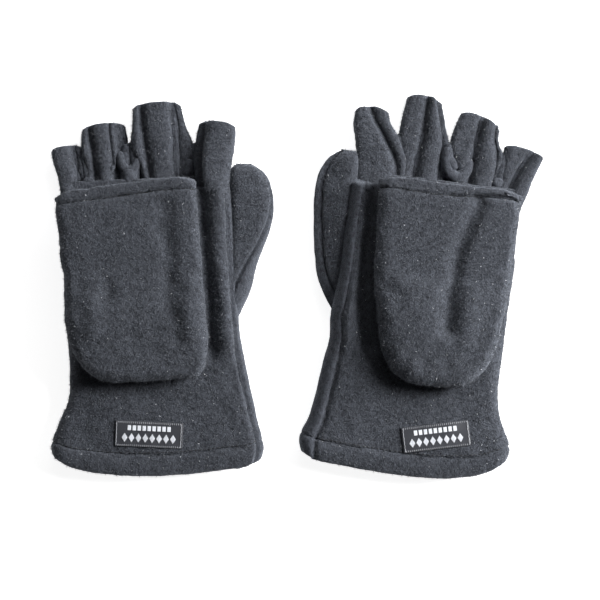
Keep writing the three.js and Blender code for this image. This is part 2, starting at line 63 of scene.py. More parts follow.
mittens = {
    "left": {
        "seed": 3,
        # y, little-finger side, thumb side
        "hand": [
            (0, -58.8, 57.5), (12, -59.4, 58.9), (26, -56.0, 56.7), (37, -52.2, 55.3), (48, -48.6, 53.4),
            (60, -48.0, 51.4), (76, -48.4, 49.4), (100, -48.6, 48.6), (125, -48.8, 48.6), (150, -49.0, 48.2),
            (176, -48.6, 47.4),
        ],
        "cuffEdge": [
            (-59, 11.6), (-48, 6.2), (-31, 2.4), (-5, 0.0), (18, 0.0), (38, 1.6), (51, 2.8), (60, 6.4),
        ],
        "seamUp": 7.0,  # the side seam's distance up the thumb side
        "ridge": [(41, 160), (40, 130), (41.5, 95), (43, 62)],
        "valley": [(30.6, 168), (31.4, 130), (33, 90), (32, 66)],
        # x, y, half width, height, thumb-side seam, little-side seam
        "stalls": {
            "little": {"mouth": 4, "drop": (1.8, 0), "rows": [
                (-40.0, 150, 9.4, 10.0, 3.5, None), (-40.8, 162, 9.2, 8.9, 3.5, None),
                (-41.6, 169, 9.2, 8.4, 3.4, None), (-42.8, 178, 9.5, 8.4, 3.3, None),
                (-43.8, 187.2, 9.8, 8.3, 3.2, None),
            ]},
            "ring": {"mouth": 3, "drop": (3.2, 0.8), "rows": [
                (-23.2, 150, 9.4, 10.0, 6.6, -4.0), (-23.4, 163, 9.6, 8.9, 6.6, -4.2),
                (-23.4, 174, 10.2, 8.1, 6.4, -4.6), (-22.2, 188, 13.3, 8.1, 4.8, -7.2),
                (-22.3, 199, 12.4, 8.1, 4.2, -8.2),
            ]},
            "middle": {"mouth": 1, "drop": (1.8, 0.4), "rows": [
                (13.0, 150, 13.4, 10.0, 4.0, -10.6), (13.6, 163, 14.4, 8.9, 3.8, -11.0),
                (13.2, 172, 15.4, 8.1, 4.0, -10.8), (10.4, 186, 17.8, 8.1, 7.0, -9.4),
                (8.8, 200, 15.0, 8.1, 8.4, -9.2), (8.2, 209.6, 13.4, 8.1, 8.6, -8.8),
            ]},
            "index": {"mouth": -10, "drop": (0, 2.6), "rows": [
                (40.0, 130, 7.8, 10.0, None, -6.0), (39.8, 144, 8.4, 14.0, None, -6.2),
                (39.2, 156, 9.2, 16.6, None, -7.0), (38.6, 167, 10.4, 16.2, None, -7.8),
                (39.6, 178, 11.6, 14.2, None, -8.4), (41.2, 188, 11.9, 12.2, None, -7.8),
                (42.4, 197.0, 11.2, 10.6, None, -7.0),
            ]},
        },
        # y, inner side, outer side
        "thumb": [
            (84, 40.0, 46.5), (89, 40.5, 49.8), (100, 41.5, 55.4), (116, 43.0, 61.0), (132, 44.5, 67.4),
            (146, 45.5, 71.0), (158, 46.0, 71.2), (166, 46.2, 69.0), (171, 47.5, 64.5), (173.6, 51.0, 60.0),
        ],
        "thumbSlope": 0.15,  # how much flatter its outer side is
        "thumbSeam": [(84, 16), (105, 13.5), (121, 10), (147, 4.0), (174, 2.0)],
        "cap": [
            (53.6, -22.0, 20.0), (54.6, -27.5, 24.0), (57.5, -33.5, 27.6), (62, -38.6, 30.2),
            (68, -42.8, 31.4),
            (75, -45.2, 31.6), (85, -47.4, 31.3), (110, -48.4, 30.6), (135, -49.4, 29.8), (158, -50.0, 28.9),
            (168, -50.0, 28.6),
        ],
        "capMouth": [
            (-51, 157.8), (-47, 159.8), (-25, 163.6), (0, 165.8), (18, 166.4), (25, 165.8), (30, 163.6),
        ],
        "capGroove": [(-51, 154.6), (-40, 155.4), (-25, 156.5), (0, 158.9), (25, 159.7), (31, 158.6)],
        # lines of a raised (positive) or sunken (negative) fold on the cap: points, width, height
        "capFolds": [
            ([(-34, 152), (-34, 116), (-31, 84)], 5.0, 1.1),
            ([(22.5, 156), (22.5, 110), (22, 78)], 5.0, 1.6),
            ([(10, 152), (11.5, 122), (11, 92)], 6.0, -1.8),
            ([(-24, 144), (-22, 100)], 5.0, -0.8),
            ([(-6, 120), (-4, 82)], 11.0, -0.6),
        ],
        "capPuff": 0.5,
        "capEdge": (7.5, 5.0),  # roundness at the little-finger side and the thumb side
        # folds between the stalls: points and radius
        "crotches": [
            ([(-13.6, 184.0, 3.2), (-13.4, 177.6, 4.4), (-11.4, 173.6, 5.2), (-8.2, 172.8, 5.4),
              (-5.2, 175.0, 5.0), (-3.6, 180.6, 3.8)], 3.1),
            ([(-9.4, 165.0, 3.8), (-9.2, 169.0, 4.6), (-9.0, 173.0, 4.0)], 4.8),
            ([(-34.6, 168.6, 3.6), (-32.3, 166.9, 4.2), (-30.0, 168.6, 3.6)], 4.0),
            ([(22.5, 168.0, 3.4), (25.0, 172.0, 3.8), (27.0, 177.0, 3.4)], 3.6),
            ([(-11.2, 166.0, 3.2), (-11.0, 178.0, 3.2), (-10.2, 188.0, 3.0)], 3.0),
            ([(-6.2, 166.0, 3.2), (-6.0, 178.0, 3.2), (-7.4, 189.0, 3.0)], 3.0),
            ([(-32.0, 166.0, 3.2), (-33.4, 176.0, 3.2), (-35.0, 184.5, 3.0)], 2.9),
            ([(27.5, 166.0, 3.2), (28.6, 177.0, 3.2), (29.4, 187.0, 3.0)], 2.9),
        ],
        "label": {"centre": (-4.3, 23.8), "turn": -5.3},
    },
    "right": {
        "seed": 11,
        "hand": [
            (0, -56.6, 58.4), (12, -57.6, 59.6), (24, -55.4, 56.4), (36, -51.8, 54.6), (50, -48.8, 53.0),
            (62, -47.8, 51.6), (73, -47.9, 49.9), (84, -48.1, 50.9), (96, -48.3, 50.2), (112, -48.5, 49.2),
            (130, -48.7, 49.0), (150, -48.7, 48.6), (176, -48.2, 47.8),
        ],
        "cuffEdge": [
            (-57, 13.5), (-48, 7.6), (-30, 2.2), (-6, 0.0), (18, 0.6), (36, 1.8), (50, 3.0), (60, 6.8),
        ],
        "seamUp": 12.4,
        "ridge": [(43, 160), (42, 130), (42, 95), (42, 70)],
        "valley": [(36.5, 160), (36.8, 120), (34, 90), (28, 70)],
        "stalls": {
            "little": {"mouth": 12, "drop": (1.0, 0), "rows": [
                (-38.5, 148, 9.0, 10.0, 3.0, None), (-41.6, 161, 9.2, 8.9, 2.4, None),
                (-44.0, 171, 9.7, 8.4, 1.5, None), (-46.0, 181, 10.8, 8.4, -0.8, None),
                (-47.6, 190.2, 12.0, 8.3, -4.0, None),
            ]},
            "ring": {"mouth": 16, "drop": (0.8, 0.3), "rows": [
                (-22.5, 150, 10.6, 10.0, 4.6, -9.0), (-22.8, 163, 11.2, 8.9, 4.4, -9.6),
                (-22.6, 174, 12.2, 8.0, 4.0, -10.4), (-20.4, 187, 15.2, 8.0, 0.8, -11.6),
                (-19.8, 198, 13.4, 8.0, -0.6, -10.6), (-21.0, 205.4, 12.2, 8.0, -0.8, -9.4),
            ]},
            "middle": {"mouth": 3, "drop": (0.5, 1.6), "rows": [
                (8.6, 150, 12.4, 10.0, 4.5, -9.6), (8.8, 163, 12.6, 8.9, 4.3, -9.6),
                (9.2, 176, 12.9, 7.7, 3.4, -10.2), (10.6, 192, 13.9, 7.7, 0.0, -11.4),
                (11.6, 205, 11.4, 7.7, -1.2, -9.4), (12.2, 213.4, 10.0, 7.7, -2.2, -8.0),
            ]},
            "index": {"mouth": -4, "drop": (0, 0.8), "rows": [
                (34.0, 146, 12.8, 10.0, None, -9.6), (32.8, 163, 14.2, 8.9, None, -9.8),
                (32.6, 175, 15.0, 8.4, None, -8.0), (36.4, 187, 13.4, 8.3, None, -4.6),
                (40.6, 197, 11.2, 8.3, None, -2.0), (41.6, 203.6, 9.8, 8.3, None, 0.6),
            ]},
        },
        "thumb": [
            (84, 40.0, 47.0), (92, 41.0, 53.0), (104, 42.0, 60.0), (117, 43.0, 63.6), (131, 43.6, 65.8),
            (148, 44.0, 67.2), (160, 44.2, 67.0), (168, 44.4, 65.2), (174.5, 45.0, 61.0), (178.6, 46.5, 56.0),
        ],
        "thumbSlope": 0.92,
        "thumbSeam": [(84, 14), (110, 9), (140, 7.5), (178, 5)],
        "cap": [
            (51.4, -14.0, -2.0), (52.2, -22.0, 3.5), (54.8, -29.0, 9.6), (60, -35.5, 15.6), (67, -39.8, 20.2),
            (76, -43.0, 23.6), (88, -45.0, 26.8), (105, -46.2, 29.6), (130, -46.8, 31.4), (158, -47.2, 32.8),
            (168, -46.8, 33.2),
        ],
        "capMouth": [
            (-48, 162.4), (-45, 164.5), (-39, 165.9), (-12, 166.1), (5, 165.8), (27, 165.3), (34, 163.4),
        ],
        "capGroove": [
            (-48, 159.0), (-44, 160.4), (-37, 161.0), (-24, 160.0), (-8, 158.9), (12, 159.0), (26, 159.5),
            (34, 158.4),
        ],
        "capFolds": [
            ([(-24, 156), (-18.4, 138), (-15, 122), (-14, 106), (-14.5, 86)], 5.0, -4.3),
            ([(-34, 150), (-29, 122), (-27, 98), (-24, 80)], 6.0, 1.5),
            ([(8, 150), (6, 100), (0, 70)], 13.0, 1.2),
        ],
        "capPuff": 1.1,
        "capEdge": (6.0, 11.0),
        "crotches": [
            ([(-4.6, 188.0, 4.0), (-4.4, 179.0, 5.2), (-6.4, 172.8, 5.8), (-11.0, 171.0, 5.8),
              (-15.6, 174.6, 5.2), (-17.6, 182.0, 4.2)], 3.3),
            ([(-5.4, 180.5, 4.8), (-7.4, 177.5, 5.8), (-9.0, 174.5, 5.2)], 2.6),
            ([(18.6, 166.0, 3.2), (19.0, 171.0, 3.4), (19.6, 176.0, 3.0)], 3.0),
            ([(-32.0, 172.0, 4.0), (-34.0, 169.5, 4.8), (-36.0, 172.0, 4.0)], 3.0),
            ([(-4.4, 168.0, 3.4), (-4.2, 179.0, 3.4), (-4.2, 190.0, 3.2)], 3.2),
            ([(-34.6, 166.0, 3.2), (-35.6, 178.0, 3.2), (-36.2, 188.0, 3.0)], 2.9),
            ([(19.5, 168.0, 3.2), (22.0, 180.0, 3.2), (24.4, 191.5, 3.0)], 2.9),
        ],
        "label": {"centre": (-15.6, 24.4), "turn": -13.4},
    },
}

levels = {
    "table": 0.25,  # the lowest the cloth's outside reaches
    "under": 0.4,  # the palm's underside
    "cuffTop": 14.6,
    "handTop": 17.0,
    "knuckleTop": 8.0,
    "thumbTop": 13.4,
    "capFloor": 20.3,
    "capLow": 26.9,
    "capFull": 29.6,
    "capMouthTop": 27.1,
}


# ---- placing and shaping by numbers

def findFrame(side):
    joint = next(j for j in frame["joints"] if j["name"] == side + "_cap_flip")
    axis = np.array(joint["axis"], float)
    forward = np.array([axis[1], -axis[0], 0.0])
    thumbward = np.array([forward[1], -forward[0], 0.0]) * (1 if side == "left" else -1)
    seam = np.array([joint["pos_m"][0], joint["pos_m"][1], 0.0])
    origin = seam - forward * build["knuckles"] * mm - thumbward * build["capSeamX"] * mm
    return origin, thumbward, forward


def toWorld(side, points):
    origin, thumbward, forward = findFrame(side)
    p = np.asarray(points, float) * mm
    return origin + p[..., 0:1] * thumbward + p[..., 1:2] * forward + p[..., 2:3] * np.array([0, 0, 1.0])


def smoothThrough(knots, at, column=1):
    xs = np.array([k[0] for k in knots], float)
    ys = np.array([k[column] for k in knots], float)
    slopes = np.gradient(ys, xs)
    at = np.clip(at, xs[0], xs[-1])
    i = np.clip(np.searchsorted(xs, at, side="right") - 1, 0, len(xs) - 2)
    h = xs[i + 1] - xs[i]
    t = (at - xs[i]) / h
    a = ys[i] * (1 + 2 * t) * (1 - t) ** 2 + slopes[i] * h * t * (1 - t) ** 2
    b = ys[i + 1] * t * t * (3 - 2 * t) + slopes[i + 1] * h * t * t * (t - 1)
    return a + b


def ease(t):
    t = np.clip(t, 0, 1)
    return t * t * (3 - 2 * t)


def distanceTo(line, x, y):
    best = np.full(np.shape(x), 1e9)
    for (ax, ay), (bx, by) in zip(line[:-1], line[1:]):
        dx, dy = bx - ax, by - ay
        t = np.clip(((x - ax) * dx + (y - ay) * dy) / (dx * dx + dy * dy), 0, 1)
        best = np.minimum(best, np.hypot(x - ax - t * dx, y - ay - t * dy))
    return best


# Gentle unevenness: a sum of plane waves of about one wavelength in random directions.
def unevenness(points, wavelength, seed, waves=26):
    draw = np.random.default_rng(seed)
    direction = draw.normal(size=(3, waves))
    direction /= np.linalg.norm(direction, axis=0)
    stretch = draw.uniform(0.7, 1.5, waves)
    phase = draw.uniform(0, 2 * math.pi, waves)
    k = direction * (2 * math.pi / wavelength) * stretch
    return np.cos(points @ k + phase).sum(-1) * math.sqrt(2 / waves) / 2


# A flattened tube's section: half-round sides and flat faces. s runs up from the middle of the thumb side.
def section(s, half, low, high):
    r = (high - low) / 2
    quarter = math.pi / 2 * r
    flat = 2 * np.maximum(half - r, 0.01)
    whole = 4 * quarter + 2 * flat
    s = np.mod(s, whole)
    thumbward = np.where(s <= quarter, s / r, (s - whole) / r)
    littleward = math.pi / 2 + (s - quarter - flat) / r
    parts = [
        (s <= quarter) | (s >= 3 * quarter + 2 * flat),
        s < quarter + flat,
        s <= 3 * quarter + flat,
    ]
    across = [flat / 2 + r * np.cos(thumbward), flat / 2 - (s - quarter), r * np.cos(littleward) - flat / 2]
    up = [r * np.sin(thumbward), r + 0 * s, r * np.sin(littleward)]
    x = np.select(parts, across, s - 3 * quarter - 1.5 * flat)
    z = np.select(parts, up, -r + 0 * s)
    return x, (low + high) / 2 + z


def girth(half, low, high):
    r = (high - low) / 2
    return 2 * math.pi * r + 4 * np.maximum(half - r, 0.01)


# Positions from 0 to 1, closer together at both ends.
def spread(count, ends=0.65):
    u = np.linspace(0, 1, count)
    return u - ends / (2 * math.pi) * np.sin(2 * math.pi * u)


def spineOf(x, y, cx, half, low, high):
    reach = np.maximum(half - (high - low) / 2, 0.01)
    return np.stack([cx + np.clip(x - cx, -reach, reach), y + 0 * x, (low + high) / 2 + 0 * x], -1)


def gridNormals(grid, core):
    across = np.gradient(grid, axis=1)
    along = np.gradient(grid, axis=0)
    n = np.cross(across, along)
    n /= np.linalg.norm(n, axis=-1, keepdims=True) + 1e-9
    for _ in range(2):
        wide = np.pad(n, ((1, 1), (1, 1), (0, 0)), mode="edge")
        n = wide[:-2, 1:-1] + wide[2:, 1:-1] + wide[1:-1, :-2] + wide[1:-1, 2:] + 2 * wide[1:-1, 1:-1]
        n /= np.linalg.norm(n, axis=-1, keepdims=True) + 1e-9
    if np.sum(n * (grid - core)) < 0:
        n = -n
    return n


# ---- from a grid of points to a sewn piece of fleece

def makeMesh(name, side, vertices, faces, material):
    mesh = bpy.data.meshes.new(name)
    mesh.from_pydata(toWorld(side, vertices).tolist(), [], faces)
    mesh.update()
    piece = bpy.data.objects.new(name, mesh)
    bpy.context.scene.collection.objects.link(piece)
    form = bmesh.new()
    form.from_mesh(mesh)
    if form.calc_volume(signed=True) < 0:
        bmesh.ops.reverse_faces(form, faces=form.faces)
    form.to_mesh(mesh)
    form.free()
    mesh.materials.append(material)
    mesh.shade_smooth()
    return piece


# Gives a grid its thickness, with edges that roll over to the inside.
def shellFromGrid(name, side, grid, core, thickness, material, rimSteps=4, hidden=None):
    rows, columns = grid.shape[:2]
    normal = gridNormals(grid, core)
    thickness = np.broadcast_to(thickness, grid.shape[:2])[..., None]
    outer = grid.reshape(-1, 3)
    inner = (grid - normal * thickness).reshape(-1, 3)
    index = np.arange(rows * columns).reshape(rows, columns)
    a, b = index[:-1, :-1].ravel(), index[:-1, 1:].ravel()
    c, d = index[1:, 1:].ravel(), index[1:, :-1].ravel()
    count = rows * columns
    faces = np.stack([a, b, c, d], 1).tolist()
    faces += np.stack([a + count, d + count, c + count, b + count], 1).tolist()
    loop = [(0, j) for j in range(columns)]
    loop += [(i, columns - 1) for i in range(1, rows)]
    loop += [(rows - 1, j) for j in range(columns - 2, -1, -1)]
    loop += [(i, 0) for i in range(rows - 2, 0, -1)]
    at = np.array(loop)
    within = np.stack([np.clip(at[:, 0], 1, rows - 2), np.clip(at[:, 1], 1, columns - 2)], 1)
    edge = grid[at[:, 0], at[:, 1]]
    outward = edge - grid[within[:, 0], within[:, 1]]
    outward /= np.linalg.norm(outward, axis=1, keepdims=True) + 1e-9
    edgeNormal = normal[at[:, 0], at[:, 1]]
    half = thickness[at[:, 0], at[:, 1]] / 2
    rings = [index[at[:, 0], at[:, 1]]]
    extra = []
    base = 2 * count
    for k in range(1, rimSteps + 1):
        angle = math.pi * k / (rimSteps + 1)
        roll = half * (outward * math.sin(angle) - edgeNormal * (1 - math.cos(angle)))
        extra.append(edge + roll)
        rings.append(base + np.arange(len(loop)))
        base += len(loop)
    rings.append(index[at[:, 0], at[:, 1]] + count)
    for one, two in zip(rings[:-1], rings[1:]):
        faces += np.stack([one, two, np.roll(two, -1), np.roll(one, -1)], 1).tolist()
    vertices = np.concatenate([outer, inner] + extra)
    piece = makeMesh(name, side, vertices, faces, material)
    outside = piece.data.attributes.new("outside", "FLOAT", "POINT")
    shown = np.zeros(len(vertices))
    shown[:count] = 1 if hidden is None else ~hidden.ravel()
    shown[2 * count :] = 0.6
    outside.data.foreach_set("value", shown)
    return piece


def rough(grid, core, seed, big=0.5, middle=0.22, fine=0.1):
    normal = gridNormals(grid, core)
    height = big * unevenness(grid, 42, seed) + middle * unevenness(grid, 14, seed + 1)
    height = height + fine * unevenness(grid, 4.2, seed + 2, 40)
    return grid + normal * height[..., None]


# Sinks a piece's long edges towards its spine, so that two neighbours meet in a seam.
def sinkSeams(grid, spine, depth, width):
    normal = grid - spine
    normal[..., 1] = 0
    normal /= np.linalg.norm(normal, axis=-1, keepdims=True) + 1e-9
    step = np.linalg.norm(np.diff(grid, axis=1), axis=-1)
    run = np.concatenate([np.zeros((grid.shape[0], 1)), np.cumsum(step, axis=1)], axis=1)
    sink = np.exp(-((run / width) ** 2)) + np.exp(-(((run[:, -1:] - run) / width) ** 2))
    return grid - normal * (depth * sink)[..., None]


# ---- the hand and its cuff

hand = {
    "seamDepth": 1.5,
    "seamWidth": 1.5,
    "cuffHem": 14.0,
    "hemPuff": 0.9,
    "hemLayer": 3.2,
    "crown": 0.7,  # how much the back rises towards its middle
    "rise": (45, 40),  # where the cuff's height turns into the hand's, and over what length
    "wall": (159.5, 3.8),  # where the back drops at the knuckles, and over what length
    "ridge": (1.5, 5.5),  # height and width
    "valley": (4.4, 4.4),
    "backWaves": (0.7, 0.35, 0.16),  # unevenness: broad, middling and fine
    "palmWaves": (0.15, 0.1, 0.08),
    "hemWaves": {"back": (0.3, 0.2, 0.1), "palm": (0.1, 0.1, 0.1)},
}


def handSection(m, y):
    xl = smoothThrough(m["hand"], y, 1)
    xr = smoothThrough(m["hand"], y, 2)
    rise, rising = hand["rise"]
    wall, falling = hand["wall"]
    high = levels["cuffTop"] + (levels["handTop"] - levels["cuffTop"]) * ease((y - rise) / rising)
    high = high + (levels["knuckleTop"] - high) * ease((y - wall) / falling)
    return (xl + xr) / 2, (xr - xl) / 2, levels["under"] + 0 * y, high


def edgeBow(m, x, y):
    return smoothThrough(m["cuffEdge"], x) * (1 - ease(y / 48))


def handGrid(m, y0, y1, onBack):
    wall = 161.0
    y = np.linspace(y0, min(y1, wall), int((y1 - y0) / build["spacing"]) + 2)
    if y1 > wall:
        y = np.concatenate([y, np.linspace(wall + 0.4, y1, 14)])
    cx, half, low, high = handSection(m, y)
    whole = girth(half, low, high)
    first = m["seamUp"] if onBack else whole / 2
    last = whole / 2 if onBack else whole + m["seamUp"]
    columns = int(np.max(whole) / 2 / build["spacing"])
    u = spread(columns)[None, :]
    s = (first + 0 * y)[:, None] + ((last - first) + 0 * y)[:, None] * u
    x, z = section(s, half[:, None], low[:, None], high[:, None])
    x = x + cx[:, None]
    share = (x - cx[:, None]) / half[:, None]
    z = np.where(z > (low + high)[:, None] / 2, z + hand["crown"] * (1 - share**2), z)
    yy = y[:, None] + edgeBow(m, x, y[:, None])
    grid = np.stack([x, yy, z], -1)
    return grid, spineOf(x, yy, cx[:, None], half[:, None], low[:, None], high[:, None])


def sculptBack(m, grid):
    x, y, z = grid[..., 0], grid[..., 1], grid[..., 2]
    top = ease((z - 9) / 4)
    reach = ease((y - 50) / 25)
    for line, sign in (("ridge", 1), ("valley", -1)):
        height, width = hand[line]
        z = z + sign * height * np.exp(-((distanceTo(m[line], x, y) / width) ** 2)) * reach * top
    grid[..., 2] = z
    return grid


def makeHand(side, m, fleece):
    start = hand["cuffHem"] - 0.6
    back, core = handGrid(m, start, build["knuckles"] + 0.6, True)
    back = rough(back, core, m["seed"], *hand["backWaves"])
    back = sculptBack(m, back)
    back = sinkSeams(back, core, hand["seamDepth"], hand["seamWidth"])
    x, y = back[..., 0], back[..., 1]
    xl, xr = capEdges(m, y)
    covered = (x > xl + 2) & (x < xr - 2) & (y > m["cap"][0][0] + 3) & (back[..., 2] > 8)
    backPiece = shellFromGrid(side + "_back", side, back, core, build["fleece"], fleece, hidden=covered)
    palm, core = handGrid(m, start, build["knuckles"] + 8, False)
    palm = rough(palm, core, m["seed"] + 20, *hand["palmWaves"])
    palm = sinkSeams(palm, core, hand["seamDepth"], hand["seamWidth"])
    palmPiece = shellFromGrid(side + "_palm", side, palm, core, build["fleece"], fleece)
    hems = []
    for onBack, part in ((True, "back"), (False, "palm")):
        hem, core = handGrid(m, 1.6, hand["cuffHem"] - 0.4, onBack)
        normal = gridNormals(hem, core)
        v = np.linspace(0, 1, hem.shape[0])[:, None, None]
        hem = hem + normal * (hand["hemPuff"] * np.sin(math.pi * v) ** 0.7 - 1.3 * v**8)
        hem = rough(hem, core, m["seed"] + 5, *hand["hemWaves"][part])
        hem = sinkSeams(hem, core, hand["seamDepth"], hand["seamWidth"])
        hems.append(shellFromGrid(f"{side}_cuff_{part}", side, hem, core, hand["hemLayer"], fleece))
    surfaces = [treeOf(backPiece), treeOf(hems[0])]
    growPile(backPiece, m["seed"])
    growPile(hems[0], m["seed"] + 1)
    names = ("back_panel", "palm_panel", "cuff_hem_back", "cuff_hem_palm")
    for piece, name in zip((backPiece, palmPiece, *hems), names):
        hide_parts(f"{side}_{name}")
        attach(piece, side + "_hand")
    return surfaces


# ---- the finger stalls

stall = {
    "seamDepth": 2.5,
    "seamWidth": 2.1,
    "puff": 1.1,
    "tilt": 1.0,  # how much lower the thumb side is
    "mouthRound": 2.6,
    "thickness": 2.0,
    "waves": (0.45, 0.35, 0.14),
}


# One long panel of a stall, between two lines that run its whole length.
def stallGrid(spec, first, last, drop):
    table = spec["rows"]
    steps = [math.dist(a[:2], b[:2]) for a, b in zip(table[:-1], table[1:])]
    run = np.concatenate([[0], np.cumsum(steps)])
    rows = max(10, int(run[-1] / build["spacing"]) + 2)
    v = np.linspace(0, 1, rows)

    def column(k):
        return smoothThrough([(r, row[k]) for r, row in zip(run, table)], v * run[-1])

    path = np.stack([column(0), column(1)], 1)
    half, high = column(2), column(3)
    low = levels["under"] + 0 * v
    seams = [column(k) if table[0][k] is not None else None for k in (4, 5)]
    quarter = math.pi / 4 * (high - low)
    flat = 2 * np.maximum(half - (high - low) / 2, 0.01)
    whole = 4 * quarter + 2 * flat
    lines = {"side": 0 * v, "farSide": whole / 2, "whole": whole}
    for name, offset in zip(("thumb", "little"), seams):
        if offset is not None:
            lines[name + "Top"] = quarter + flat / 2 - offset
            lines[name + "Under"] = whole - quarter - flat / 2 + offset
            lines[name + "Before"] = -quarter - flat / 2 + offset
    sFirst, sLast = lines[first], lines[last]
    columns = max(10, int(np.max(sLast - sFirst) / build["spacing"]))
    u = spread(columns)[None, :]
    s = sFirst[:, None] + (sLast - sFirst)[:, None] * u
    x, z = section(s, half[:, None], low[:, None], high[:, None])
    mid = ((low + high) / 2)[:, None]
    upper = ease((z - mid) / 3)
    z = z - drop * upper + stall["puff"] * (np.sin(math.pi * u) - 0.4) * upper
    if seams[0] is not None:
        z = z - stall["tilt"] * (x / half[:, None] + 1) / 2 * upper
    lean = math.atan2(path[-1, 0] - path[-4, 0], path[-1, 1] - path[-4, 1])
    nearMouth = ease((v[:, None] - 0.55) / 0.45)
    turn = math.radians(spec["mouth"]) * nearMouth
    sag = -stall["mouthRound"] * (np.abs(x) / half[:, None]) ** 3 * nearMouth
    px = path[:, 0:1] + x * np.cos(turn) + sag * math.sin(lean)
    py = path[:, 1:2] + x * np.sin(turn) + sag * math.cos(lean)
    grid = np.stack([px, py, z], -1)
    return grid, spineOf(px, py, path[:, 0:1], half[:, None], low[:, None], high[:, None])


def makeStall(side, m, name, fleece):
    spec = m["stalls"][name]
    hasThumb, hasLittle = (spec["rows"][0][k] is not None for k in (4, 5))
    backFirst = "thumbTop" if hasThumb else "side"
    backLast = "littleTop" if hasLittle else "farSide"
    panels = [("finger_back", backFirst, backLast, 0.0)]
    if hasThumb:
        panels.append(("thumbward_fourchette", "thumbBefore", "thumbTop", spec["drop"][0]))
    if hasLittle:
        panels.append(("outward_fourchette", "littleTop", "littleUnder", spec["drop"][1]))
    palmFirst = "littleUnder" if hasLittle else "farSide"
    palmLast = "thumbUnder" if hasThumb else "whole"
    panels.append(("finger_palm", palmFirst, palmLast, 0.0))
    order = list(m["stalls"]).index(name)
    for part, first, last, drop in panels:
        grid, core = stallGrid(spec, first, last, drop)
        grid = rough(grid, core, m["seed"] + 7 * order, *stall["waves"])
        grid = sinkSeams(grid, core, stall["seamDepth"], stall["seamWidth"])
        grid[..., 2] = np.maximum(grid[..., 2], levels["table"])
        piece = shellFromGrid(f"{side}_{name}_{part}_cloth", side, grid, core, stall["thickness"], fleece)
        if "palm" not in part:
            growPile(piece, m["seed"] + order)
        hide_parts(f"{side}_{name}_{part}")
        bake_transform(piece)


# ---- the thumb

thumb = {
    "seamDepth": 1.3,
    "seamWidth": 1.4,
    "tipRound": 9.0,
    "baseRound": 12.0,
    "thickness": 1.8,
    "crown": 0.8,
    "waves": (0.4, 0.25, 0.1),
    "blend": ((48, 90, 5), (56, 118, 5)),  # from where to where it passes from hand to thumb
}


def thumbGrid(m, onBack):
    y0, y1 = m["thumb"][0][0], m["thumb"][-1][0]
    rows = int((y1 - y0) / build["spacing"] * 1.15)
    y = y0 + (y1 - y0) * spread(rows, 0.85)
    xl = smoothThrough(m["thumb"], y, 1)
    xr = smoothThrough(m["thumb"], y, 2)
    cx, half = (xl + xr) / 2, (xr - xl) / 2
    tip = np.sqrt(1 - (1 - np.clip((y1 - y) / thumb["tipRound"], 0, 1)) ** 2)
    base = np.sqrt(1 - (1 - np.clip((y - y0) / thumb["baseRound"], 0, 1)) ** 2)
    tall = np.minimum((levels["thumbTop"] - levels["under"]) / 2, half * 0.98) * np.maximum(tip * base, 0.03)
    mid = (levels["thumbTop"] + levels["under"]) / 2 - 0.6
    low, high = mid - tall, mid + tall
    whole = girth(half, low, high)
    seam = smoothThrough(m["thumbSeam"], y) * np.clip(tall / 6.0, 0.05, 1)
    first = seam if onBack else whole / 2
    last = whole / 2 if onBack else whole + seam
    columns = int(44 / build["spacing"])
    u = spread(columns)[None, :]
    s = first[:, None] + (last - first)[:, None] * u
    x, z = section(s, half[:, None], low[:, None], high[:, None])
    z = np.where(z > mid, z + thumb["crown"] * (1 - (x / half[:, None]) ** 2) * (tip * base)[:, None], z)
    outward = (x + half[:, None]) / (2 * half[:, None])
    z = np.where(z > mid, mid + (z - mid) * (1 - m["thumbSlope"] * outward), z)
    grid = np.stack([x + cx[:, None], y[:, None] + 0 * x, z], -1)
    spine = spineOf(x + cx[:, None], y[:, None], cx[:, None], half[:, None], low[:, None], high[:, None])
    thickness = np.minimum(thumb["thickness"], tall * 0.6)[:, None] + 0 * x
    return grid, spine, thickness


def makeThumb(side, m, fleece):
    for onBack, part in ((True, "back"), (False, "palm")):
        grid, core, thickness = thumbGrid(m, onBack)
        grid = rough(grid, core, m["seed"] + 31, *thumb["waves"])
        grid = sinkSeams(grid, core, thumb["seamDepth"], thumb["seamWidth"])
        grid[..., 2] = np.maximum(grid[..., 2], levels["table"])
        piece = shellFromGrid(f"{side}_thumb_{part}_cloth", side, grid, core, thickness, fleece)
        if onBack:
            growPile(piece, m["seed"])
        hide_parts(f"{side}_thumb_{part}")
        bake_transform(piece)


# ---- the cap

cap = {
    "tuck": 1.7,  # how far the edge turns in underneath
    "hemPuff": 1.0,
    "grooveDepth": 1.9,
    "grooveWidth": 1.4,
    "lip": 2.3,  # roundness of the mouth's folded edge
    "edgeDrop": 1.9,  # how far the under layer hangs below the edge
    "underInset": 1.9,
    "middle": -9.0,
    "waves": (0.65, 0.42, 0.18),
    "underWaves": (0.35, 0.25, 0.14),
}


def capEdges(m, y, inset=0.0):
    return smoothThrough(m["cap"], y, 1) + inset, smoothThrough(m["cap"], y, 2) - inset


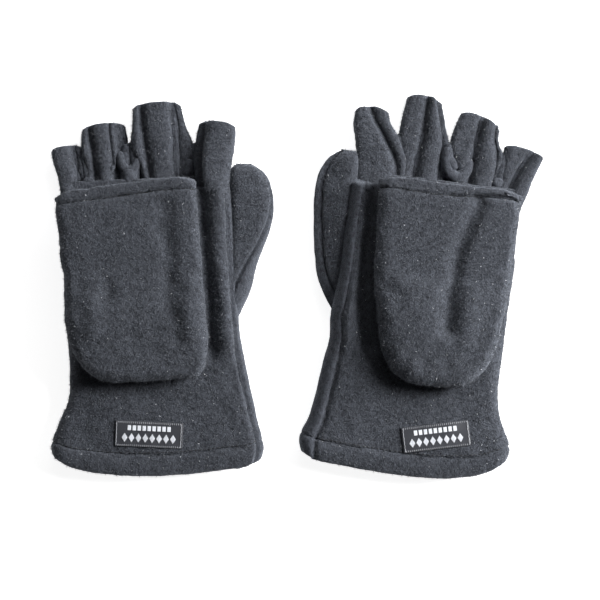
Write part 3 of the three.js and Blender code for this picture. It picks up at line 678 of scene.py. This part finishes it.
# The cap's upper surface over a plan point: a pillow that rises in a quarter round from its outline.
def capHeight(m, x, y):
    start = m["cap"][0][0]
    steps = start + (m["cap"][-1][0] - start) * spread(110, 0.9)
    xl, xr = capEdges(m, steps)
    outline = list(zip(xl[::-1], steps[::-1])) + list(zip(xr, steps))
    away = distanceTo(outline, x, y)
    softness = m["capEdge"][0] + (m["capEdge"][1] - m["capEdge"][0]) * ease((x + 45) / 75)
    full = levels["capFull"] + (levels["capLow"] - levels["capFull"]) * ease((y - 92) / 22)
    rounded = np.sqrt(np.maximum(1 - (1 - np.clip(away / softness, 0, 1)) ** 2, 0))
    z = levels["capFloor"] + (full - levels["capFloor"]) * rounded + m["capPuff"] * ease(away / 34)
    for line, width, height in m["capFolds"]:
        z += height * np.exp(-((distanceTo(line, x, y) / width) ** 2)) * ease(away / 8)
    groove = y - smoothThrough(m["capGroove"], x)
    z -= cap["grooveDepth"] * np.exp(-((groove / cap["grooveWidth"]) ** 2)) * rounded
    return z, rounded


# Turns the pillow's lowest part in under its widest line.
def tuckEdge(grid, rounded):
    x, y = grid[..., 0], grid[..., 1]
    toX, toY = cap["middle"] - x, np.clip(y, 82, 150) - y
    away = np.hypot(toX, toY) + 1e-9
    inward = cap["tuck"] * np.clip(1 - rounded / 0.42, 0, 1) ** 2
    grid[..., 0] += toX / away * inward
    grid[..., 1] += toY / away * inward
    return grid


# Near the mouth the cap's top stays low enough to lie over the stalls when it is turned over.
def keepLow(grid):
    free, soft = 36.0, 1.4
    limit = free + (levels["capMouthTop"] - free) * ease((grid[..., 1] - 96) / 20)
    over = grid[..., 2] - (limit - soft)
    grid[..., 2] = np.where(over > 0, limit - soft + soft * np.tanh(over / soft), grid[..., 2])
    grid[..., 2] = np.maximum(grid[..., 2], levels["capFloor"] - 0.2)
    return grid


# Plan points of a cap's layer, in rows that follow the line they end on.
def capPlan(m, y0, endLine, rows, inset=0.0):
    share = (spread(rows, 0.0) ** 1.3)[:, None]
    u = spread(int(82 / build["spacing"] * 1.15), 0.8)[None, :]
    y = y0 + (160.0 - y0) * share + 0 * u
    for _ in range(4):
        xl, xr = capEdges(m, y, inset)
        x = xl + (xr - xl) * u
        y = y0 + (endLine(x) - y0) * share
    return x, y


def makeCap(side, m, fleece):
    seam = levels["capFloor"]
    tip = m["cap"][0][0]
    mouthLine = lambda x: smoothThrough(m["capMouth"], x)
    grooveLine = lambda x: smoothThrough(m["capGroove"], x)
    x, y = capPlan(m, tip, lambda x: grooveLine(x) - 0.15, int(105 / build["spacing"] * 1.15))
    z, rounded = capHeight(m, x, y)
    grid = np.stack([x, y, z], -1)
    core = np.stack([cap["middle"] + 0 * x, np.clip(y, 75, 140), seam - 30 + 0 * x], -1)
    grid = keepLow(tuckEdge(rough(grid, core, m["seed"] + 51, *cap["waves"]), rounded))
    top = shellFromGrid(side + "_cap_top", side, grid, core, 0.5 + 1.3 * rounded, fleece)

    # The hem is the mouth's edge, folded over and stitched down.
    rows = int(13 / build["spacing"] * 1.3)
    w = np.linspace(0, 1.5, rows)[:, None]
    u = spread(int(82 / build["spacing"] * 1.15), 0.8)[None, :]
    flat = 160.0 + 0 * u + 0 * w
    for _ in range(4):
        xl, xr = capEdges(m, flat)
        x = xl + (xr - xl) * u
        mouth = mouthLine(x)
        start = grooveLine(x) + 0.15
        lip = np.minimum(cap["lip"], (mouth - start) * 0.5)
        flat = start + (mouth - lip - start) * np.clip(w, 0, 1)
    z, rounded = capHeight(m, x, flat)
    turn = np.clip((w - 0.8) / 0.7, 0, 1) * math.pi
    y = np.where(turn > 0, mouth - lip + lip * np.sin(turn), flat)
    z = z + cap["hemPuff"] * np.sin(math.pi * np.clip(w, 0, 1)) * rounded
    z = z - lip * 0.85 * (1 - np.cos(turn)) * rounded
    grid = np.stack([x, y, z], -1)
    core = np.stack([cap["middle"] + 0 * x, 158 + 0 * x, seam - 2 + 0 * x], -1)
    grid = keepLow(tuckEdge(rough(grid, core, m["seed"] + 51, *cap["waves"]), rounded))
    hem = shellFromGrid(side + "_cap_hem", side, grid, core, 0.4 + 1.0 * rounded, fleece)

    # The under layer lies on the hand and is sewn to it at the knuckles.
    inset = cap["underInset"]
    x, y = capPlan(m, tip + inset, lambda x: mouthLine(x) - 0.6, int(112 / build["spacing"]), inset)
    edge = np.minimum(np.minimum(x - x[:, :1], x[:, -1:] - x), y - tip - inset)
    rounded = np.sqrt(np.maximum(1 - (1 - np.clip(edge / 3.5, 0, 1)) ** 2, 0))
    grid = np.stack([x, y, seam - 0.3 - cap["edgeDrop"] * rounded], -1)
    core = np.stack([cap["middle"] + 0 * x, y, seam + 30 + 0 * x], -1)
    grid = rough(grid, core, m["seed"] + 57, *cap["underWaves"])
    under = shellFromGrid(side + "_cap_under", side, grid, core, 0.3 + 1.2 * rounded, fleece)
    surfaces = [treeOf(top), treeOf(hem)]
    growPile(top, m["seed"])
    growPile(hem, m["seed"] + 1)
    for piece, name in ((top, "top_panel"), (hem, "mouth_hem"), (under, "under_panel")):
        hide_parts(f"{side}_cap_{name}")
        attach(piece, side + "_cap")
    return surfaces


# ---- rolls and bulges of cloth

def makeRoll(name, side, points, radius, material, seed=0):
    points = np.asarray(points, float)
    rows = len(points)
    along = np.gradient(points, axis=0)
    along /= np.linalg.norm(along, axis=1, keepdims=True)
    acrossways = np.cross(along, [0, 0, 1.0])
    acrossways /= np.linalg.norm(acrossways, axis=1, keepdims=True)
    upward = np.cross(acrossways, along)
    v = np.linspace(0, 1, rows)
    fat = radius * np.sqrt(np.maximum(1 - np.clip(np.abs(v - 0.5) * 2, 0, 1) ** 10, 0.01))
    sides = 14
    angle = np.linspace(0, 2 * math.pi, sides, endpoint=False)[None, :, None]
    ring = acrossways[:, None, :] * np.cos(angle) + upward[:, None, :] * np.sin(angle)
    skin = points[:, None, :] + ring * fat[:, None, None]
    skin = skin + ring * (0.12 * radius * unevenness(skin, radius * 6, seed))[..., None]
    vertices = np.concatenate([skin.reshape(-1, 3), points[:1], points[-1:]])
    faces = []
    end = rows * sides
    for j in range(sides):
        k = (j + 1) % sides
        for i in range(0, end - sides, sides):
            faces.append((i + j, i + k, i + sides + k, i + sides + j))
        faces += [(end, k, j), (end + 1, end - sides + j, end - sides + k)]
    return makeMesh(name, side, vertices, faces, material)


hinge = {"radius": 1.5, "height": 17.5, "lastY": 163.0, "inset": 2.0, "behindMouth": 1.6}


def makeHinge(side, m, fleece):
    xl, xr = capEdges(m, np.array([164.0]))
    x = np.linspace(xl[0] + hinge["inset"], xr[0] - hinge["inset"], 60)
    y = np.minimum(smoothThrough(m["capMouth"], x) - hinge["behindMouth"], hinge["lastY"])
    points = np.stack([x, y, hinge["height"] + 0 * x], -1)
    roll = makeRoll(side + "_hinge", side, points, hinge["radius"], fleece, m["seed"])
    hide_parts(side + "_cap_hinge_seam")
    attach(roll, side + "_hand")


# Where two stalls part, the cloth bunches up.
def makeCrotches(side, m, fleece):
    for number, (points, radius) in enumerate(m["crotches"]):
        knots = np.array(points, float)
        run = np.arange(len(knots))
        t = np.linspace(0, len(knots) - 1, 26)
        line = np.stack([smoothThrough(list(zip(run, knots[:, k])), t) for k in range(3)], -1)
        roll = makeRoll(f"{side}_crotch_{number + 1}", side, line, radius, fleece, m["seed"] + number)
        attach(roll, side + "_hand")


# ---- materials

# Feeds a node's inputs with constants or with other nodes' outputs.
def feed(made, feeds):
    for key, value in feeds.items():
        if isinstance(value, bpy.types.NodeSocket):
            made.id_data.links.new(value, made.inputs[key])
        else:
            made.inputs[key].default_value = value


def node(tree, kind, feeds=None, **settings):
    made = tree.nodes.new(kind)
    for key, value in settings.items():
        setattr(made, key, value)
    feed(made, feeds or {})
    return made


def sums(tree, operation, *values, **settings):
    return node(tree, "ShaderNodeMath", dict(enumerate(values)), operation=operation, **settings).outputs[0]


# A node group, its inputs' sockets and its outputs' sockets.
def newGroup(name, kind, takes, gives):
    tree = bpy.data.node_groups.new(name, kind)
    for title, sort, *default in takes:
        socket = tree.interface.new_socket(title, in_out="INPUT", socket_type="NodeSocket" + sort)
        if default:
            socket.default_value = default[0]
    for title, sort in gives:
        tree.interface.new_socket(title, in_out="OUTPUT", socket_type="NodeSocket" + sort)
    return tree, node(tree, "NodeGroupInput").outputs, node(tree, "NodeGroupOutput")


def newMaterial(name):
    material = bpy.data.materials.new(name)
    material.use_nodes = True
    return material, material.node_tree, material.node_tree.nodes["Principled BSDF"]


def napGroup():
    sizes = (("Clump size", 2.1), ("Fibre size", 0.7), ("Contrast", 0.55), ("Depth", 1.0))
    takes = [(title, "Float", size) for title, size in sizes]
    takes += [("Deep colour", "Color"), ("Lit colour", "Color")]
    gives = [("Colour", "Color"), ("Height", "Float"), ("Roughness", "Float")]
    group, given, result = newGroup("brushedNap", "ShaderNodeTree", takes, gives)
    place = node(group, "ShaderNodeTexCoord").outputs["Object"]
    inMm = node(group, "ShaderNodeVectorMath", {0: place, "Scale": 1000.0}, operation="SCALE").outputs[0]
    stretched = node(group, "ShaderNodeMapping", {0: inMm, "Scale": (1.0, 0.45, 1.0)}).outputs[0]

    def noise(size, vector, detail, distortion):
        texture = node(group, "ShaderNodeTexNoise", {
            "Vector": vector,
            "Scale": sums(group, "DIVIDE", 1.0, given[size]),
            "Detail": detail,
            "Roughness": 0.6,
            "Distortion": distortion,
        })
        return texture.outputs[0]

    clumps = noise("Clump size", inMm, 4.0, 0.6)
    fibres = noise("Fibre size", stretched, 3.0, 1.6)
    mixed = node(group, "ShaderNodeMix", {0: 0.55, 2: clumps, 3: fibres}, data_type="FLOAT").outputs[0]
    centred = sums(group, "SUBTRACT", mixed, 0.5)
    gain = sums(group, "MULTIPLY", given["Contrast"], 7.0)
    strong = sums(group, "MULTIPLY_ADD", centred, gain, 0.5, use_clamp=True)
    colours = {0: strong, 6: given["Deep colour"], 7: given["Lit colour"]}
    roughness = {"Value": strong, "To Min": 0.98, "To Max": 0.82}
    feed(result, {
        "Colour": node(group, "ShaderNodeMix", colours, data_type="RGBA").outputs[2],
        "Height": sums(group, "MULTIPLY", strong, given["Depth"]),
        "Roughness": node(group, "ShaderNodeMapRange", roughness).outputs[0],
    })
    return group


def makeFleece(nap):
    finish = {
        "deep": (0.0165, 0.0172, 0.0212, 1),
        "lit": (0.074, 0.0815, 0.098, 1),
        "sheen": 0.3,
        "sheenRoughness": 0.45,
        "bump": 0.7,
        "bumpDepth": 0.0006,
    }
    material, tree, shader = newMaterial("charcoalFleece")
    colours = {"Deep colour": finish["deep"], "Lit colour": finish["lit"]}
    pattern = node(tree, "ShaderNodeGroup", colours, node_tree=nap).outputs
    bump = {"Strength": finish["bump"], "Distance": finish["bumpDepth"], "Height": pattern["Height"]}
    feed(shader, {
        "Base Color": pattern["Colour"],
        "Roughness": pattern["Roughness"],
        "Normal": node(tree, "ShaderNodeBump", bump).outputs["Normal"],
        "Specular IOR Level": 0.15,
        "Sheen Weight": finish["sheen"],
        "Sheen Roughness": finish["sheenRoughness"],
        "Sheen Tint": (0.75, 0.82, 0.95, 1),
    })
    return material


def makeThread(name, colour, roughness):
    material, tree, shader = newMaterial(name)
    place = node(tree, "ShaderNodeTexCoord").outputs["Object"]
    strands = node(tree, "ShaderNodeTexNoise", {"Vector": place, "Scale": 2600.0}).outputs[0]
    dark, light = ((*[c * k for c in colour], 1) for k in (0.7, 1.25))
    tint = node(tree, "ShaderNodeMix", {0: strands, 6: dark, 7: light}, data_type="RGBA").outputs[2]
    feed(shader, {"Base Color": tint, "Roughness": roughness})
    return material


# ---- camera, floor and light

stage = {
    "lens": 160.0,
    "floorSize": 6.0,
    "view": 0.336,  # width of the view at the mittens
    "aim": (79.2, 98.95, 16.0),  # from the corner of the left mitten's own axes
    "key": ((1.24, 0.42, 0.74), (0.6, 0.84), 64.0),  # place, size, power
    "fill": ((0.2, 0.85, 0.55), (0.9, 0.4), 2.8),
    "world": 0.08,
    "floorGlow": 0.86,
}


def makeStage():
    scene = bpy.context.scene
    scene.view_settings.view_transform = "Standard"
    camera = bpy.data.objects.new("camera", bpy.data.cameras.new("camera"))
    scene.collection.objects.link(camera)
    camera.data.lens = stage["lens"]
    camera.data.clip_start = 0.01
    away = stage["view"] * stage["lens"] / camera.data.sensor_width
    origin = findFrame("left")[0]
    camera.location = Vector(origin) + Vector(stage["aim"]) * mm + Vector((0, 0, away))
    scene.camera = camera

    floorMesh = bpy.data.meshes.new("floor")
    wide = stage["floorSize"] / 2
    corners = [(-wide, -wide, 0), (wide, -wide, 0), (wide, wide, 0), (-wide, wide, 0)]
    floorMesh.from_pydata(corners, [], [(0, 1, 2, 3)])
    floor = bpy.data.objects.new("floor", floorMesh)
    scene.collection.objects.link(floor)
    white, _, shader = newMaterial("paleFloor")
    feed(shader, {
        "Base Color": (0.9, 0.9, 0.9, 1),
        "Roughness": 0.9,
        "Specular IOR Level": 0.0,
        "Emission Color": (1, 1, 1, 1),
        "Emission Strength": stage["floorGlow"],
    })
    floorMesh.materials.append(white)

    world = bpy.data.worlds.new("studio")
    world.use_nodes = True
    feed(world.node_tree.nodes["Background"], {0: (1, 1, 1, 1), 1: stage["world"]})
    scene.world = world

    for name in ("key", "fill"):
        place, size, power = stage[name]
        data = bpy.data.lights.new(name, "AREA")
        data.shape = "RECTANGLE"
        data.size, data.size_y = size
        data.energy = power
        light = bpy.data.objects.new(name, data)
        light.location = place
        light.rotation_euler = (-Vector(place)).to_track_quat("-Z", "Y").to_euler()
        scene.collection.objects.link(light)


# ---- stitches, by Geometry Nodes

def geometryGroup(name, sizes, *more):
    takes = [("Geometry", "Geometry")]
    takes += [(title, "Float", size) for title, size in sizes]
    return newGroup(name, "GeometryNodeTree", takes + list(more), [("Geometry", "Geometry")])


def tubeAlong(tree, curve, radius, sides, **more):
    ring = node(tree, "GeometryNodeCurvePrimitiveCircle", {"Resolution": sides, "Radius": radius}).outputs[0]
    feeds = {"Curve": curve, "Profile Curve": ring, "Fill Caps": True, **more}
    return node(tree, "GeometryNodeCurveToMesh", feeds).outputs[0]


def painted(tree, shape, material):
    real = node(tree, "GeometryNodeRealizeInstances", {0: shape}).outputs[0]
    return node(tree, "GeometryNodeSetMaterial", {"Geometry": real, "Material": material}).outputs[0]


def stitchTree():
    sizes = (("Pitch", 0.0026), ("Stitch length", 0.0019), ("Thread radius", 0.0003))
    tree, given, result = geometryGroup("stitchesAlongLine", sizes, ("Thread", "Material"))
    curve = node(tree, "GeometryNodeMeshToCurve", {0: given["Geometry"]}).outputs[0]
    spaced = {"Curve": curve, "Length": given["Pitch"]}
    upright = {"Direction": (0, 0, 1), "Length": given["Stitch length"]}
    line = node(tree, "GeometryNodeCurvePrimitiveLine", upright, mode="DIRECTION").outputs[0]
    finer = node(tree, "GeometryNodeResampleCurve", {"Curve": line, "Count": 5}, mode="COUNT").outputs[0]
    along = node(tree, "GeometryNodeSplineParameter").outputs["Factor"]
    taper = {"Value": sums(tree, "PINGPONG", along, 0.5), "From Max": 0.25, "To Min": 0.45}
    thickness = node(tree, "ShaderNodeMapRange", taper).outputs[0]
    tangent = node(tree, "GeometryNodeInputTangent").outputs[0]
    placed = node(tree, "GeometryNodeInstanceOnPoints", {
        "Points": node(tree, "GeometryNodeResampleCurve", spaced, mode="LENGTH").outputs[0],
        "Instance": tubeAlong(tree, finer, given["Thread radius"], 6, Scale=thickness),
        "Rotation": node(tree, "FunctionNodeAlignRotationToVector", {"Vector": tangent}, axis="Z").outputs[0],
    })
    feed(result, {0: painted(tree, placed.outputs[0], given["Thread"])})
    return tree


def cordTree():
    sizes = (("Thread radius", 0.00016),)
    tree, given, result = geometryGroup("threadAlongLine", sizes, ("Thread", "Material"))
    curve = node(tree, "GeometryNodeMeshToCurve", {0: given["Geometry"]}).outputs[0]
    feed(result, {0: painted(tree, tubeAlong(tree, curve, given["Thread radius"], 5), given["Thread"])})
    return tree


def addNodes(piece, tree, values):
    modifier = piece.modifiers.new("nodes", "NODES")
    modifier.node_group = tree
    for item in tree.interface.items_tree:
        if item.item_type == "SOCKET" and item.in_out == "INPUT" and item.name in values:
            modifier[item.identifier] = values[item.name]


def applied(piece):
    graph = bpy.context.evaluated_depsgraph_get()
    graph.update()
    return bpy.data.meshes.new_from_object(piece.evaluated_get(graph))


def runNodes(name, source, tree, values):
    addNodes(source, tree, values)
    mesh = applied(source)
    mesh.name = name
    piece = bpy.data.objects.new(name, mesh)
    bpy.context.scene.collection.objects.link(piece)
    bpy.data.objects.remove(source)
    mesh.shade_smooth()
    return piece


def lineObject(name, runs):
    vertices, edges = [], []
    for run in runs:
        first = len(vertices)
        vertices += [tuple(p) for p in run]
        edges += [(first + i, first + i + 1) for i in range(len(run) - 1)]
    mesh = bpy.data.meshes.new(name)
    mesh.from_pydata(vertices, edges, [])
    line = bpy.data.objects.new(name, mesh)
    bpy.context.scene.collection.objects.link(line)
    return line


def treeOf(piece):
    verts = [v.co.copy() for v in piece.data.vertices]
    return BVHTree.FromPolygons(verts, [tuple(p.vertices) for p in piece.data.polygons])


# Drops a line of plan points onto the pieces' upper surfaces.
def drape(side, surfaces, points):
    out = []
    for x, y in points:
        start = Vector(toWorld(side, [x, y, 60.0]))
        hits = [s.ray_cast(start, Vector((0, 0, -1))) for s in surfaces]
        heights = [h[0].z for h in hits if h[0] is not None]
        if heights:
            out.append(Vector((start.x, start.y, max(heights))))
    return out


def pileTree():
    sizes = (("Per square metre", 1e6), ("Length", 0.001), ("Root radius", 0.0001), ("Lean", 1.0))
    tree, given, result = geometryGroup("looseFibres", sizes, ("Seed", "Int"), ("Fibre", "Material"))
    marked = node(tree, "GeometryNodeInputNamedAttribute", {"Name": "outside"}, data_type="FLOAT").outputs[0]
    normal = node(tree, "GeometryNodeInputNormal").outputs[0]
    facing = node(tree, "ShaderNodeSeparateXYZ", {0: normal}).outputs["Z"]
    shown = sums(tree, "MULTIPLY", marked, sums(tree, "GREATER_THAN", facing, -0.5))
    points = node(tree, "GeometryNodeDistributePointsOnFaces", {
        "Mesh": given["Geometry"],
        "Density": sums(tree, "MULTIPLY", shown, given["Per square metre"]),
        "Seed": given["Seed"],
    }).outputs
    cone = {"Vertices": 3, "Radius Top": 0.0, "Radius Bottom": given["Root radius"], "Depth": given["Length"]}
    lean = given["Lean"]
    back = sums(tree, "MULTIPLY", lean, -1.0)
    low = node(tree, "ShaderNodeCombineXYZ", {0: back, 1: back}).outputs[0]
    high = node(tree, "ShaderNodeCombineXYZ", {0: lean, 1: lean, 2: 6.28}).outputs[0]
    turn = node(tree, "FunctionNodeRandomValue", {0: low, 1: high}, data_type="FLOAT_VECTOR").outputs[0]
    turns = {0: points["Rotation"], 1: node(tree, "FunctionNodeEulerToRotation", {0: turn}).outputs[0]}
    placed = node(tree, "GeometryNodeInstanceOnPoints", {
        "Points": points["Points"],
        "Instance": node(tree, "GeometryNodeMeshCone", cone).outputs["Mesh"],
        "Rotation": node(tree, "FunctionNodeRotateRotation", turns, rotation_space="LOCAL").outputs[0],
        "Scale": node(tree, "FunctionNodeRandomValue", {2: 0.5, 3: 1.4}, data_type="FLOAT").outputs[1],
    })
    both = node(tree, "GeometryNodeJoinGeometry", {0: given["Geometry"]})
    feed(both, {0: painted(tree, placed.outputs[0], given["Fibre"])})
    feed(result, {0: both.outputs[0]})
    return tree


pile = {
    "fibres": (1.1e6, 0.00125, 0.00012),  # how many per square metre, length and root radius
    "lint": (12000.0, 0.001, 0.00013),
    "lean": 1.15,
}


# Grows the fleece's loose fibres and a little pale lint on a piece, and joins them to it.
def growPile(piece, seed):
    for kind, material in (("fibres", pileMaterial), ("lint", lintMaterial)):
        amount, length, radius = pile[kind]
        addNodes(piece, pileNodes, {
            "Per square metre": amount,
            "Length": length,
            "Root radius": radius,
            "Lean": pile["lean"],
            "Seed": seed,
            "Fibre": material,
        })
    mesh = applied(piece)
    piece.modifiers.clear()
    piece.data = mesh


# ---- the label: a woven tape with a generic pattern

label = {
    "size": (37.6, 14.0),
    "thick": 0.55,
    "lift": 0.75,
    "tooth": (1.15, 0.9),  # spacing and length of one overlock stitch
    "diamonds": (8, 31.0, 4.9, -2.1),  # how many, over what width, how tall, how far up
    "dashes": (9, 25.0, 2.8, 3.4),
}


def labelPoint(m, u, v):
    turn = math.radians(m["label"]["turn"])
    cx, cy = m["label"]["centre"]
    return cx + u * math.cos(turn) - v * math.sin(turn), cy + u * math.sin(turn) + v * math.cos(turn)


def makeLabel(side, m, surfaces, cloth, thread, edging, tree):
    wide, tall = label["size"]
    us = np.linspace(-wide / 2, wide / 2, 40)
    vs = np.linspace(-tall / 2, tall / 2, 18)
    origin = findFrame(side)[0]
    heights = np.zeros((18, 40))
    places = np.zeros((18, 40, 2))
    for i, v in enumerate(vs):
        for j, u in enumerate(us):
            x, y = labelPoint(m, u, v)
            places[i, j] = (x, y)
            heights[i, j] = (drape(side, surfaces, [(x, y)])[0].z - origin[2]) / mm
    for _ in range(6):
        wider = np.pad(heights, 1, mode="edge")
        heights = (wider[:-2, 1:-1] + wider[2:, 1:-1] + wider[1:-1, :-2] + wider[1:-1, 2:]) / 4
    grid = np.concatenate([places, (heights + label["lift"])[..., None]], -1)
    core = grid - np.array([0, 0, 20.0])
    tape = shellFromGrid(side + "_label_tape", side, grid, core, label["thick"], cloth, 2)
    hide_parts(side + "_label")
    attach(tape, side + "_hand")

    def lay(points):
        out = []
        for u, v in points:
            i = (v / tall + 0.5) * 17
            j = (u / wide + 0.5) * 39
            a, b = int(np.clip(i, 0, 16)), int(np.clip(j, 0, 38))
            z = heights[a, b] + (heights[a + 1, b] - heights[a, b]) * (i - a)
            z += (heights[a, b + 1] - heights[a, b]) * (j - b) + label["lift"] + 0.12
            out.append(Vector(toWorld(side, [*labelPoint(m, u, v), z])))
        return out

    border = []
    gap, length = label["tooth"]
    for edge in (1, -1):
        for u in np.arange(-wide / 2 + 1.6, wide / 2 - 1.2, gap):
            v = edge * (tall / 2 - 0.15)
            border.append(lay([(u, v), (u + 0.25, v - edge * length)]))
        u = edge * (wide / 2 - 0.7)
        border.append(lay([(u - 0.3 * (k % 2), (k / 12 - 0.5) * (tall - 0.8)) for k in range(13)]))
    # filled shapes are rows of upright satin stitches
    runs = []
    for (count, width, height, up), fill, taper in ((label["diamonds"], 0.84, 1), (label["dashes"], 0.7, 0)):
        pitch = width / count
        for k in range(count):
            middle = (k - (count - 1) / 2) * pitch
            for step in np.linspace(-1, 1, 13)[1:-1]:
                reach = height / 2 * (1 - taper * abs(step))
                u = middle + step * pitch / 2 * fill
                runs.append(lay([(u, up - reach), (u, up + reach)]))
    for name, lines, colour in (("pattern", runs, thread), ("border", border, edging)):
        threads = runNodes(f"{side}_label_{name}", lineObject("line", lines), tree, {"Thread": colour})
        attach(threads, side + "_hand")


print("materials")
nap = napGroup()
fleece = makeFleece(nap)
darkThread = makeThread("darkThread", (0.012, 0.013, 0.016), 0.55)
paleThread = makeThread("paleThread", (0.62, 0.64, 0.68), 0.6)
greyThread = makeThread("greyThread", (0.36, 0.37, 0.4), 0.6)
tape = makeThread("wovenTape", (0.036, 0.038, 0.045), 0.4)
stitches = stitchTree()
cords = cordTree()
pileMaterial = makeThread("looseFibre", (0.075, 0.082, 0.095), 0.8)
lintMaterial = makeThread("paleLint", (0.55, 0.57, 0.6), 0.8)
pileNodes = pileTree()

makeStage()
for side, m in mittens.items():
    print("hand", side)
    handSurfaces = makeHand(side, m, fleece)
    print("stalls", side)
    for name in m["stalls"]:
        makeStall(side, m, name, fleece)
    print("thumb", side)
    makeThumb(side, m, fleece)
    print("cap", side)
    capSurfaces = makeCap(side, m, fleece)
    makeHinge(side, m, fleece)
    makeCrotches(side, m, fleece)
    print("stitching", side)
    xs = np.linspace(-54, 55, 90)
    path = drape(side, handSurfaces, [(x, hand["cuffHem"] - 0.4 + float(edgeBow(m, x, 13.6))) for x in xs])
    thread = runNodes(side + "_cuff_stitches", lineObject("line", [path]), stitches, {"Thread": darkThread})
    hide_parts(side + "_cuff_hem_thread")
    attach(thread, side + "_hand")
    makeLabel(side, m, handSurfaces, tape, paleThread, greyThread, cords)
    ends = capEdges(m, np.array([158.0]))
    xs = np.linspace(ends[0][0] + 4, ends[1][0] - 3, 80)
    path = drape(side, capSurfaces, [(x, float(smoothThrough(m["capGroove"], x))) for x in xs])
    thread = runNodes(side + "_cap_stitches", lineObject("line", [path]), stitches, {"Thread": darkThread})
    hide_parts(side + "_cap_hem_thread")
    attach(thread, side + "_cap")
